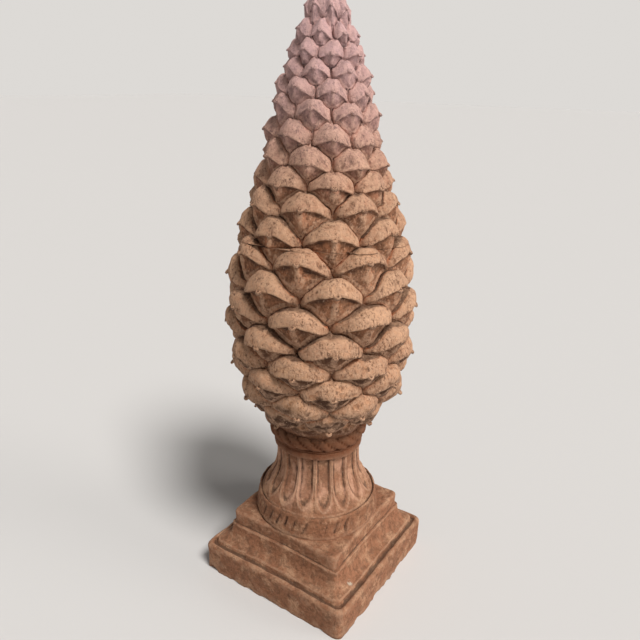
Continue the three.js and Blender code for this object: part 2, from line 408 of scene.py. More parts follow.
def cut_nicks(points):
    bearing, radius = bearings_and_radii(points)
    level = points[:, 2]
    slant = (level - block_top) * nick_slant
    turn_share = (bearing + slant + 0.05 * drift(bearing * 2.2, 5.1)) * nick_count / (2 * math.pi)
    off = (turn_share - np.round(turn_share)) * 2 * math.pi * foot_radius / nick_count
    off = off + nick_wander * drift(turn_share * 3, level * 90, 4)
    keen = drift(np.round(turn_share) * 0.73, 1.7)
    start = block_top + 0.010 + 0.012 * keen
    on_band = eased(level, start, start + 0.008)
    on_band = on_band * (1 - eased(level, block_top + 0.036, block_top + 0.047)) * (radius > 0.1)
    crisp = eased(np.cos(bearing - sharp_nicks_bearing), -0.3, 0.7)
    depth = np.clip(0.70 + 1.6 * keen, 0.1, 1.4) * (0.3 + 0.7 * crisp) * on_band
    depth = depth * bump(off, nick_width)
    in_groove = bump(radius - foot_radius + groove_inset, 0.004) * (level > foot_top - 0.012)
    return around(radius - nick_depth * depth, bearing, level), depth + groove_grime_and_shade * in_groove


nicked, nick_shares = cut_nicks(points_of(foot))
set_points(foot, wobble(wobble(nicked, dent_reach, dent_size)))
print("foot faces", len(foot.data.polygons))

# %% [markdown]
# Sixteen long tongues are sunk into the flared neck. Each is a shallow bed with a round lower
# end and a thin raised rim, and two rims run side by side between neighbours with a fine channel
# between them. The neck is spun, its columns are drawn together where the rims run, and the beds
# are then pressed in by their distance to the rim, which keeps the rims even round the ends. The
# collar above it is the smooth band on which the rope lies.

# %% Neck
neck_radius = 0.092
neck_height = 0.122
collar_height = 0.024
collar_overhang = 0.005
tongue_count = 16
columns_per_tongue = 14
tongue_depth = 0.0048
tongue_share = 0.84
tongue_clear = 0.008
tongue_round = 0.040
tongue_point = 1.75
rim_height = 0.0014
rim_width = 0.0012
rim_offset = 0.0015
slot_depth = 0.003
channel_depth = 0.0006
first_bearing = math.radians(40.8)
collar_bottom = foot_top + neck_height
collar_top = collar_bottom + collar_height

flare = [(0.398, 0.00), (0.328, 0.07), (0.285, 0.14), (0.225, 0.23), (0.155, 0.32), (0.095, 0.40),
         (0.045, 0.50), (0.018, 0.60), (0, 0.75), (0.01, 1)]
neck_corners = [(neck_radius * (1 + out), foot_top - 0.004 + (neck_height + 0.004) * rise)
                for out, rise in flare]
collar_radius = neck_radius * 1.01 + collar_overhang
collar_profile = [
    (-0.0015, 0.0004), (0, 0.002), (0.0005, 0.007), (-0.0005, 0.012), (-0.002, 0.015),
    (-0.004, 0.0165), (-0.002, 0.0175), (0.0005, 0.019), (0.001, 0.0205), (-0.0005, 0.022),
    (-0.005, 0.0235), (-0.004, 0.030), (0, 0.060), (0.004, 0.075),
]
collar_outline = [(collar_radius + out, collar_bottom + rise) for out, rise in collar_profile]
neck_outline = [(0, foot_top - 0.012), (neck_corners[0][0] - 0.004, foot_top - 0.012),
                *smooth_outline(neck_corners, 5), *collar_outline, (0, collar_bottom + 0.075)]
neck = spin_outline("neck", neck_outline, tongue_count * columns_per_tongue)


def tongue_depths(share, level, half_pitch):
    """Distance into a tongue from its rim, in metres. Share is 1 midway between two tongues."""
    shoulder = foot_top + tongue_clear + tongue_round
    reach = tongue_share * half_pitch
    beyond = np.clip((shoulder - level) / tongue_round, 0, None)
    sideways = share / tongue_share
    oval = (np.abs(sideways) ** tongue_point + beyond ** tongue_point) ** (1 / tongue_point)
    return (1 - oval) * np.minimum(reach, np.where(beyond > 0, tongue_round, reach))


def press_tongues(points):
    bearing, radius = bearings_and_radii(points)
    level = points[:, 2]
    pitch = 2 * math.pi / tongue_count
    turns = (bearing - first_bearing) / pitch
    number = np.round(turns)
    share = 2 * (turns - number)
    share = np.sign(share) * (1 - (1 - np.abs(share)) ** 1.6)
    bearing = first_bearing + (number + share / 2) * pitch
    own = drift(np.sin(number * pitch) * 3, np.cos(number * pitch) * 3, 2)
    depth = tongue_depths(share, level + 0.010 * own, radius * pitch / 2)
    bed = eased(depth, -0.0002, 0.0030)
    rim = bump(depth + rim_offset, rim_width)
    slot = bed * bump(collar_bottom - level, 0.004)
    on_neck = (level < collar_bottom + 0.0002) & (level > foot_top - 0.003)
    channel = bump(share - np.sign(share), 0.05)
    push = rim_height * rim - tongue_depth * bed - slot_depth * slot - channel_depth * channel
    return around(radius + np.where(on_neck, push, 0), bearing, level), np.where(on_neck, rim, 0)


pressed, rim_shares = press_tongues(points_of(neck))
set_points(neck, wobble(pressed))
print("neck faces", len(neck.data.polygons))

# %% [markdown]
# Under the cone lies a rope, a roll of clay laid round the neck and cut with slanting strokes
# into strands. It starts as a torus. The cuts wind round it at a slant, sharp and deep, and the
# strands swell between them.

# %% Rope
rope_height = 0.030
rope_thickness = 0.020
rope_strands = 22
rope_cut = 0.0046
rope_twist = 0.55
rope_level = collar_top + rope_height / 2
rope_radius = neck_radius + collar_overhang

start_clean()
bpy.ops.mesh.primitive_torus_add(
    major_segments=rope_strands * 10, minor_segments=18,
    major_radius=rope_radius, minor_radius=rope_thickness / 2, location=(0, 0, rope_level),
)
rope = named("rope")
bpy.ops.object.transform_apply(location=True, rotation=False, scale=False)


def cut_strands(points):
    bearing, radius = bearings_and_radii(points)
    out, rise = radius - rope_radius, points[:, 2] - rope_level
    side = np.arctan2(rise, out)
    strand = rope_strands * bearing / 2 + rope_twist * math.pi * np.sin(side)
    crest = np.abs(np.sin(strand))
    inward = rope_cut * (1 - crest) ** 5
    swell = 0.0008 * crest
    own = drift(np.sin(bearing) * 4, np.cos(bearing) * 4, 7)
    size = 1 + (swell - inward + 0.0015 * own) / (rope_thickness / 2)
    stretch = rope_height / rope_thickness
    return around(rope_radius + out * size, bearing, rope_level + rise * size * stretch)


set_points(rope, wobble(cut_strands(points_of(rope))))
print("rope faces", len(rope.data.polygons))

# %% [markdown]
# One scale is modelled on a flat diamond, two units across and two down, with its height going
# from 0 in the valleys to 1 at the tip. The upper half is a full, rounded pillow. The lip runs
# from corner to corner through the tip. Below it two scooped facets meet in a keel. The diamond
# is a square grid turned by an eighth of a turn and cut along lip and keel, so that points lie
# exactly on both. Its rows are drawn together towards the edges, where the creases run.

# %% One scale
cells = 24
pillow_power = 0.44
pyramid_power = 0.80
blunt_from = 0.93
facet_scoop = 0.10
shelf_share = 0.26
keel_softness = 0.10
mid_edge_lift = 0.08
corner_depth = 0.36
edge_draw = 0.55
above_tip = 0.035

start_clean()
bpy.ops.mesh.primitive_grid_add(
    x_subdivisions=cells, y_subdivisions=cells, size=math.sqrt(2), location=(0, 0, 0),
)
scale = named("scale")
edit(scale)
bpy.ops.transform.rotate(value=math.pi / 4, orient_axis="Z", center_override=(0, 0, 0))
for straight in ((1, 0, 0), (0, 1, 0)):
    bpy.ops.mesh.select_all(action="SELECT")
    bpy.ops.mesh.bisect(plane_co=(0, 0, 0), plane_no=straight)
bpy.ops.object.mode_set(mode="OBJECT")


def drawn_together(place):
    """Draws points together near 0 and near 1, where the creases run."""
    return place - edge_draw * np.sin(2 * math.pi * place) / (2 * math.pi)


def edge_shares(across, down):
    """Two numbers that are 1 midway between opposite edges of the diamond and 0 on them, and
    their blend, which on an edge runs from 0 at its corners to 1 at its middle."""
    s, t = (1 + down + across) / 2, (1 + down - across) / 2
    first, second = np.clip(4 * s * (1 - s), 0, 1), np.clip(4 * t * (1 - t), 0, 1)
    return first, second, (first ** 4 + second ** 4) ** 0.25


def way_from_tip(across, down):
    """The share of the way from the tip to the edge, and how far it points down the keel."""
    away = np.clip(np.abs(across) + np.abs(down), 1e-9, 1)
    return away, np.abs(down) / away


def blunted(height, limit):
    """Heights above the limit are held back softly, and none passes 1."""
    rest = 1 - limit
    return np.where(height > limit, limit + rest * np.tanh((height - limit) / rest), height)


def scale_heights(across, down):
    first, second, blend = edge_shares(across, down)
    edge = mid_edge_lift * np.minimum(blend, 1) - corner_depth * np.clip(1 - blend, 0, 1) ** 2
    pillow = (first * second) ** pillow_power
    away, keel_share = way_from_tip(across, down)
    beside = np.sqrt(across ** 2 + (keel_softness * np.abs(down)) ** 2) - keel_softness * np.abs(down)
    lip = (1 - away ** 2) ** (2 * pillow_power)
    pyramid = (1 - np.clip(beside + np.abs(down), 0, 1)) ** pyramid_power
    shelf = eased(keel_share, 0, shelf_share)
    scoop = facet_scoop * np.sin(math.pi * np.clip(keel_share, 0, 1)) * np.sin(math.pi * away)
    facet = lip + (pyramid - lip) * shelf - scoop
    shape = np.where(down > 0, np.clip(facet, 0, 1), pillow)
    height = edge + (1 - edge) * shape
    return blunted(height, blunt_from)


pattern = points_of(scale)
rising = drawn_together((1 + pattern[:, 0] + pattern[:, 1]) / 2)
falling = drawn_together((1 + pattern[:, 0] - pattern[:, 1]) / 2)
pattern[:, 0], pattern[:, 1] = rising + falling - 1, rising - falling
pattern[:, 2] = scale_heights(pattern[:, 0], -pattern[:, 1])
set_points(scale, pattern)
tip_point = int(np.argmin(np.hypot(pattern[:, 0], pattern[:, 1] - above_tip)))
print("scale points", len(pattern), "faces", len(scale.data.polygons))

# %% [markdown]
# The cone's outline over the tips of the scales is a soft curve. The scales sit in rows of
# eight, each row half a scale on from the last, and their corners meet in a lattice whose rows
# draw closer as the cone narrows. A scale is laid on by reading each of its points as a bearing,
# a row and a height, which no operator does. Rows near the top run a little downhill, and the
# lowest rows stand out less. The photograph also shows, row by row from the top, how far a row
# lies off its even place and how far its tips are raised, both listed here in millimetres. The
# upper edges of the scales bulge into arches, and where four scales meet, the upper and the lower
# corner are pulled apart.

# %% Surface of the cone
cone_bottom = collar_top + rope_height
cone_height = apex - cone_bottom
cone_radius = 0.202
scales_per_row = 8
first_row_rise = 0.033
row_pitch_base = 0.0204
row_pitch_per_radius = 0.161
relief_base = 0.010
relief_per_radius = 0.115
shallow_low = 0.24
arch_low, arch_high = 0.22, 0.10
arch_power = 0.75
split_low, split_high = 0.15, 0.36
undercut = 0.10
row_tilt = math.radians(5)
row_tilt_bearing = math.radians(123)
bud_height = 0.048
row_drift = [0, 0, 0, 0, 0, 0, 2, 0, 0, 0, 0, -3, -3, -12, -11, -9, -1, 3]
tip_rise = [12, 2, 1, 4, 8, 9, 1, 0, 3, 8, 9, 17, 22, 17, 14, 8, 11, 11, 3, 3]

tip_outline = smooth_outline([
    (0.52, 0), (0.70, 0.04), (0.87, 0.104), (0.955, 0.18), (1, 0.294), (0.962, 0.404), (0.833, 0.513),
    (0.631, 0.659), (0.468, 0.8), (0.30, 0.908), (0.18, 0.97), (0.1, 1),
], 30)
outline_levels = cone_bottom + cone_height * np.array([rise for _, rise in tip_outline])
outline_radii = cone_radius * np.array([out for out, _ in tip_outline])


def tip_radius(level):
    return np.interp(level, outline_levels, outline_radii)


def row_pitch(level):
    return row_pitch_base + row_pitch_per_radius * tip_radius(level)


def cone_points(bearing, level, lift):
    slope = (tip_radius(level + 0.002) - tip_radius(level - 0.002)) / 0.004
    steepness = np.hypot(1, slope)
    relief = relief_base + relief_per_radius * tip_radius(level)
    sunk = (1 - lift) * relief * (1 - shallow_low * eased(level, 0.66, 0.50))
    points = around(tip_radius(level) - sunk / steepness, bearing, level + sunk * slope / steepness)
    tilt = math.tan(row_tilt) * eased((level - cone_bottom) / cone_height, 0.55, 0.75)
    downhill = points[:, 0] * math.sin(row_tilt_bearing) - points[:, 1] * math.cos(row_tilt_bearing)
    points[:, 2] -= tilt * downhill
    return points


def edge_rise(place, bulge, split):
    """How far an edge is lifted, along its way from a scale's top corner to its side corner. The
    arch bulges, and the corners where four scales meet are pulled apart, up and down."""
    def near_corner(way):
        return bump(way, 0.20) * (1 - bump(way, 0.04))

    arch = bulge * np.clip(4 * place * (1 - place), 0, 1) ** arch_power
    return arch + split * (near_corner(1 - place) - near_corner(place))


def rise_inside(across, down, level):
    """The lift of the edges carried into the scale, in row pitches. The nearer edge counts more."""
    s, t = (1 + down + across) / 2, (1 + down - across) / 2
    first, second, _ = edge_shares(across, down)
    near_top = eased(level, 0.80, 1.10)
    bulge = arch_low + (arch_high - arch_low) * near_top
    split = split_low + (split_high - split_low) * near_top
    pull_s, pull_t = 1 / (second + 1e-6), 1 / (first + 1e-6)
    mixed = pull_s * edge_rise(s, bulge, split) + pull_t * edge_rise(t, bulge, split)
    return mixed / (pull_s + pull_t) * (1 - first * second)


def lattice_levels():
    levels = [cone_bottom + first_row_rise]
    while levels[-1] < apex - bud_height:
        here = levels[-1]
        levels.append(float(here + row_pitch(here + row_pitch(here) / 2)))
    first = levels[0]
    levels = [float(first - row_pitch(first)), float(first - row_pitch(first) / 2), *levels]
    drift = row_drift + [0] * (len(levels) - len(row_drift))
    return [level + shift / 1000 for level, shift in zip(sorted(levels, reverse=True), drift)]


rows = lattice_levels()
print("rows", len(rows) - 2, "levels", [round(level, 3) for level in rows])

# %% [markdown]
# No two scales are alike: each was pressed and cut by hand. Every copy gets its own tip, lower or
# higher and nudged sideways and up or down, and its own sag along each half of the lip, all fading
# to nothing at its edges, so that neighbours still meet. The lip falls towards the side corners.
# Near the top the scales are blunt pyramids, the low ones are half pointed, and the lowest are
# thin at their edges. The lips lose small crumbs where a noise in space is high.

# %% Shape of one laid scale
tip_spread = 0.14
tip_drift = 0.06
lip_sag = 0.13
lip_fall = 0.85
pointed_high = 0.60
pointed_low = 0.45
lip_crumble = 0.26
crumb_size = 0.011
lowest_narrow = 0.5
blunt_high = 0.14


def scale_levels(row, across, down, fade, chance):
    """The level of each point of a scale, and a share that is 1 near the top of the cone."""
    even = np.interp(row + 1 + down, np.arange(len(rows)), rows)
    pitch, near_top = row_pitch(even), eased(even, 0.80, 1.05)
    away, keel_share = way_from_tip(across, down)
    tucked = np.sin(math.pi * keel_share) * (1 - keel_share) * np.sin(math.pi * away) * (down > 0)
    level = even + pitch * rise_inside(across, down, even)
    level = level + undercut * pitch * tucked * (1 - 0.8 * near_top)
    first, second, _ = edge_shares(across, down)
    level = level + tip_rise[row] / 1000 * np.sqrt(first * second)
    level = level + pitch * tip_drift * chance.uniform(-1, 1) * fade
    sag = lip_sag * np.where(across > 0, chance.uniform(0, 1.2), chance.uniform(0, 1.2))
    near_lip = bump(down, 0.22) * np.minimum(1, fade * 5)
    fall = lip_fall * (split_low + (split_high - split_low) * near_top) * np.abs(across) ** 1.2
    level = level - pitch * (sag * np.sin(math.pi * np.abs(across) ** 1.6) + fall) * near_lip
    return level, near_top


def scale_lifts(lift, level, away, near_top, fade, chance):
    """The height of each point of a scale, pointed and blunted as its place on the cone asks."""
    pointed = pointed_high * near_top + pointed_low * eased(level, 0.64, 0.50)
    lift = lift + pointed * ((1 - away) ** 0.7 - lift) * (lift > 0)
    lift = lift * (1 - tip_spread * chance.random() * fade)
    lift = np.sign(lift) * np.abs(lift) ** (1 + lowest_narrow * eased(level, 0.47, 0.41))
    return blunted(lift, 1 - blunt_high * near_top - 1e-6)


def lay_scale(row, number, chance):
    flat = points_of(scale)
    across, down = flat[:, 0], -flat[:, 1]
    fade = np.clip(1 - np.abs(across) - np.abs(down), 0, 1)
    level, near_top = scale_levels(row, across, down, fade, chance)
    sideways = across + tip_drift * chance.uniform(-1, 1) * fade
    start = first_bearing + (number + (row % 2) / 2) * 2 * math.pi / scales_per_row
    bearing = start + sideways * math.pi / scales_per_row
    away, _ = way_from_tip(across, down)
    lift = scale_lifts(flat[:, 2], level, away, near_top, fade, chance)
    crumbs = drift(*(cone_points(bearing, level, lift) / crumb_size).T)
    on_lip = bump(down, 0.10) * np.clip(1.2 - np.abs(across), 0, 1)
    lift = lift - lip_crumble * np.clip(crumbs - 0.10, 0, None) * on_lip * np.minimum(1, fade * 6)
    return cone_points(bearing, level, lift)


# %% [markdown]
# Every point notes where on its scale it lies: how high, near an edge, on a facet, under the lip
# or on the keel. The colours read these numbers later. The copies are joined into one skin, which
# gets the wobble on three scales. A dozen knocks, each given by its bearing in degrees, level,
# distance from the axis and size, then flatten single crests.

# %% Lay the scales and knock the crests
def note(piece, name, values):
    """Writes one number per point, which the clay's colours read later."""
    record = piece.data.attributes.get(name) or piece.data.attributes.new(name, "FLOAT", "POINT")
    numbers = np.broadcast_to(values, len(piece.data.vertices)).astype(np.float32)
    record.data.foreach_set("value", numbers)


across, down = pattern[:, 0], -pattern[:, 1]
marks = {
    "lift": pattern[:, 2],
    "seam": bump(1 - np.abs(across) - np.abs(down), 0.07),
    "facet": eased(down, 0.0, 0.06),
    "under_lip": bump(down, 0.13) * np.clip(np.abs(across) * 5, 0, 1) * (down > 0),
    "keel": bump(across, 0.05) * (down > 0),
}
knocks = [
    (47, 0.815, 0.172, 0.014), (49, 0.905, 0.150, 0.010), (63, 0.778, 0.196, 0.012),
    (38, 0.990, 0.130, 0.010), (-8, 0.630, 0.212, 0.016), (20, 0.600, 0.212, 0.010),
    (150, 0.700, 0.214, 0.018), (215, 0.560, 0.210, 0.016), (265, 0.850, 0.175, 0.014),
    (320, 0.740, 0.208, 0.014), (100, 1.020, 0.124, 0.010), (190, 0.930, 0.150, 0.012),
]
copies, tips = [], []
for row in range(len(rows) - 2):
    for number in range(scales_per_row):
        chance = random.Random(100 * row + number)
        copy = copy_of(scale)
        places = lay_scale(row, number, chance)
        set_points(copy, places)
        for name, values in marks.items():
            note(copy, name, values)
        note(copy, "tone", chance.random())
        tips.append(places[tip_point])
        copies.append(copy)
only(*copies)
bpy.ops.object.join()
cone = named("cone")
edit(cone)
bpy.ops.mesh.remove_doubles(threshold=2e-5)
bpy.ops.object.mode_set(mode="OBJECT")
bpy.data.objects.remove(scale)
tips = np.array(tips)
for reach, size in ((0.0014, 0.013), (0.0042, 0.042), (wobble_reach, wobble_size)):
    set_points(cone, wobble(points_of(cone), reach, size))
    tips = wobble(tips, reach, size)
knocked = points_of(cone)
for bearing, level, out, radius in knocks:
    knocked = bite(knocked, around(out, math.radians(bearing), level), radius)
set_points(cone, knocked)
print("cone faces", len(cone.data.polygons), "box", points_of(cone).min(axis=0).round(3),
      points_of(cone).max(axis=0).round(3))

# %% [markdown]
# Both ends of the scaly skin are open and jagged. They are closed by pulling each open edge in
# to one point on the axis, inside the rope below and inside the bud above.

# %% Close the cone
def close_end(piece, is_here):
    edit(piece)
    pick(piece, "edges", lambda edge: edge.is_boundary and is_here(edge.verts[0].co.z))
    bpy.ops.mesh.extrude_edges_move()
    bpy.ops.mesh.merge(type="CENTER")
    bpy.ops.mesh.select_all(action="SELECT")
    bpy.ops.mesh.normals_make_consistent(inside=False)
    bpy.ops.object.mode_set(mode="OBJECT")


close_end(cone, lambda level: level < 0.6)
close_end(cone, lambda level: level > 0.6)

# %% [markdown]
# The tip is above the edge of the photograph. It is finished as a plain closed bud with eight
# soft leaves, as the rows below it suggest: a ball, stretched to the size of the solid's bud.

# %% Bud
bud_radius = 0.036
start_clean()
bpy.ops.mesh.primitive_uv_sphere_add(segments=48, ring_count=24, radius=1, location=(0, 0, 0))
bud = named("bud")
ball = points_of(bud)
bearing, radius = bearings_and_radii(ball)
leaf = np.abs(np.sin(4 * (bearing - first_bearing) + 2.2 * ball[:, 2]))
radius = bud_radius * radius * (0.86 + 0.16 * leaf ** 0.6)
level = apex - bud_height + np.where(ball[:, 2] > 0, 1, 0.6) * bud_height * ball[:, 2]
set_points(bud, around(radius, bearing, level))
print("bud top", round(points_of(bud)[:, 2].max(), 4))

# %% [markdown]
# Each tip carries a small stamped button of clay, pressed on with the end of a tube. One is
# modelled: a short nine-sided cylinder whose face is inset into a raised ring with a sunken middle.
# The ring is noted as rubbed pale, and the flange around it and the sunken middle get painted
# shade. A copy is set on every tip, sunk a little and tilted up, smaller where the cone is narrow.

# %% Buttons on the tips
button_radius = 0.0056
button_height = 0.0036
button_sunk = 0.0012

start_clean()
bpy.ops.mesh.primitive_cylinder_add(
    vertices=9, radius=button_radius * 1.3, depth=button_height, location=(0, 0, 0),
)
button = named("button")
edit(button)
pick(button, "faces", lambda face: face.normal.z > 0.9)
bpy.ops.mesh.inset(thickness=button_radius * 0.36)
bpy.ops.mesh.inset(thickness=button_radius * 0.08)
bpy.ops.transform.translate(value=(0, 0, button_height * 0.3))
bpy.ops.mesh.inset(thickness=button_radius * 0.24)
bpy.ops.mesh.inset(thickness=button_radius * 0.10)
bpy.ops.transform.translate(value=(0, 0, -button_height * 0.4))
bpy.ops.object.mode_set(mode="OBJECT")
disc = points_of(button)
from_middle = np.hypot(disc[:, 0], disc[:, 1]) / button_radius
on_ring = (from_middle > 0.55) & (disc[:, 2] > button_height * 0.6)
# Painted shade on the button's flange and sunken middle.
note(button, "under_lip", np.where(on_ring, 0, 1.2))
note(button, "keel", np.where(on_ring, 2, 0))


def set_button(place, chance):
    copy = copy_of(button)
    outward = Vector((place[0], place[1], 0)).normalized() + Vector((0, 0, chance.uniform(0.9, 1.3)))
    size = chance.uniform(0.85, 1.1) * (0.4 + 0.6 * min(1, tip_radius(place[2]) / 0.17))
    stand = outward.to_track_quat("Z", "Y").to_matrix() * size
    foot_place = place - button_sunk * np.array(outward.normalized())
    set_points(copy, points_of(button) @ np.array(stand).T + foot_place)
    return copy


button_chance = random.Random(3)
buttons = [set_button(place, button_chance) for place in tips
           if cone_bottom + 0.02 < place[2] < apex - 0.03]
bpy.data.objects.remove(button)
print("buttons", len(buttons), "of", len(buttons[0].data.polygons), "faces")

# %% [markdown]
# The finial was fired in two sections, which meet at a level joint across the cone. It shows as
# a thin dark line that wanders a little. The cone is cut twice, once for each section, with a
# small gap between. Before the cut the clay is shifted by a slow wave and afterwards shifted
# back, so that the straight cut comes out wavy. Two more cuts beside it give points with which
# the sharp edge is worn away.

# %% Part the cone at the joint
joint_level = (top_of_lower.z + foot_of_upper.z) / 2
joint_gap = 0.0006
joint_wave = 0.0016
joint_sweep = 0.004
joint_lift = 0.0020
joint_wear = 0.0004


def joint_shift(points):
    small = joint_wave * drift(points[:, 0] / 0.05, points[:, 1] / 0.05, 6)
    turned = bearings_and_radii(points)[0] - camera_bearing
    return small - joint_lift - joint_sweep * (np.cos(2 * turned) - np.sin(turned))


def cut_cone(name, upper):
    piece = copy_of(cone)
    piece.name = name
    points = points_of(piece)
    points[:, 2] += joint_shift(points)
    set_points(piece, points)
    edit(piece)
    away_from_joint = 1 if upper else -1
    edge = joint_level + away_from_joint * joint_gap / 2
    bpy.ops.mesh.select_all(action="SELECT")
    bpy.ops.mesh.bisect(plane_co=(0, 0, edge), plane_no=(0, 0, 1), use_fill=True,
                        clear_inner=upper, clear_outer=not upper)
    for step in (0.0012, 0.0034):
        bpy.ops.mesh.select_all(action="SELECT")
        bpy.ops.mesh.bisect(plane_co=(0, 0, edge + away_from_joint * step), plane_no=(0, 0, 1))
    bpy.ops.object.mode_set(mode="OBJECT")
    points = points_of(piece)
    near = bump(points[:, 2] - edge, 0.0018)
    wear = joint_wear * (0.35 + 0.9 * np.abs(drift(*(points / 0.013).T)))
    bearing, radius = bearings_and_radii(points)
    level = points[:, 2] - joint_shift(points)
    set_points(piece, around(radius - wear * near, bearing, level))
    return piece


cone_lower = cut_cone("cone_lower", upper=False)
cone_upper = cut_cone("cone_upper", upper=True)
bpy.data.objects.remove(cone)
print("joint at", round(joint_level, 4))

# %% [markdown]
# Each section is one piece of fired clay, so its parts are joined into one mesh that takes the
# place of its solid. Two displacements then roughen the skin: soft lumps from the hands, and a
# finer tooth from sand in the clay. They follow cloud textures, which are the same on each run.
# Foot and neck note their nicks and rims, and where a part has no mark it gets a plain value.

# %% Join the sections and roughen the skin
note(foot, "under_lip", nick_shares)
note(neck, "keel", 2.2 * rim_shares)
tips_from = 0.1965
tips_room = 0.0054
no_marks = {"lift": 0.5, "tone": 0.5, "seam": 0, "facet": 0, "under_lip": 0, "keel": 0}


def join_as(name, pieces):
    for piece in pieces:
        for mark, value in no_marks.items():
            if mark not in piece.data.attributes:
                note(piece, mark, value)
    only(*pieces)
    bpy.ops.object.join()
    joined = bpy.context.object
    joined.name = joined.data.name = name
    return joined


def pressed_in(points):
    """Tips that stand out too far are held back softly, inside the solids' box."""
    bearing, radius = bearings_and_radii(points)
    level = np.clip(points[:, 2], 0, apex)
    held_back = tips_from + tips_room * np.tanh((radius - tips_from) / tips_room)
    too_far = (radius > tips_from) & (level > cone_bottom)
    return around(np.where(too_far, held_back, radius), bearing, level)


def roughen(piece, size, depth):
    lumps = bpy.data.textures.new(f"{piece.name}_{size}", "CLOUDS")
    lumps.noise_scale = size
    lumps.noise_depth = 2
    skin = piece.modifiers.new("skin", "DISPLACE")
    skin.texture = lumps
    skin.texture_coords = "LOCAL"
    skin.strength = depth
    skin.mid_level = 0.5
    only(piece)
    bpy.ops.object.modifier_apply(modifier=skin.name)


low_buttons = [piece for piece in buttons if points_of(piece)[:, 2].mean() < joint_level]
high_buttons = [piece for piece in buttons if piece not in low_buttons]
lower_clay = join_as("lower_section_clay", [cone_lower, plinth, foot, neck, rope, *low_buttons])
upper_clay = join_as("upper_section_clay", [cone_upper, bud, *high_buttons])
for clay in (lower_clay, upper_clay):
    roughen(clay, 0.030, 0.0026)
    roughen(clay, 0.009, 0.0012)
    set_points(clay, pressed_in(points_of(clay)))
    only(clay)
    bpy.ops.object.shade_smooth()
    clay.data.calc_loop_triangles()
    print(clay.name, "triangles", len(clay.data.loop_triangles))

# %% [markdown]
# Dirt and painted shade gather in hollows, and raised edges are rubbed pale. How hollow the clay
# is at each point is measured by comparing the point with the average of its neighbours, spread
# over some distance: a point that lies behind that average, against the surface's direction, is
# in a hollow.

# %% Measure the hollows
def measure_hollow(piece, spreads, reach):
    points = points_of(piece)
    ends = np.empty(2 * len(piece.data.edges), np.int32)
    piece.data.edges.foreach_get("vertices", ends)
    first, second = ends.reshape(-1, 2).T
    count = np.bincount(ends, minlength=len(points))[:, None]
    blurred = points.copy()
    for _ in range(spreads):
        total = np.zeros_like(points)
        np.add.at(total, first, blurred[second])
        np.add.at(total, second, blurred[first])
        blurred = 0.5 * blurred + 0.5 * total / np.maximum(count, 1)
    normals = np.empty(3 * len(points))
    piece.data.vertices.foreach_get("normal", normals)
    depth = np.einsum("ij,ij->i", blurred - points, normals.reshape(-1, 3))
    return np.clip(depth / reach, -1, 1)


for clay in (lower_clay, upper_clay):
    note(clay, "hollow", measure_hollow(clay, 10, 0.0022))
    note(clay, "valley", measure_hollow(clay, 60, 0.0075))
    print(clay.name, "hollows measured")

# %% [markdown]
# Fired clay is matte and uneven. Its colour is layered coat over coat, most coats as they came
# about on the real one and some as painted shade, and each coat has a share between 0 and 1 at
# every point. All patterns read Object coordinates, and the rest comes from the numbers noted on
# the points.

# %% Node helpers
def hue(red, green, blue):
    """A colour as seen on a screen, 0 to 255, turned into the shader's linear values."""
    screen = [value / 255 for value in (red, green, blue)]
    linear = [value / 12.92 if value <= 0.04045 else ((value + 0.055) / 1.055) ** 2.4 for value in screen]
    return (*linear, 1)


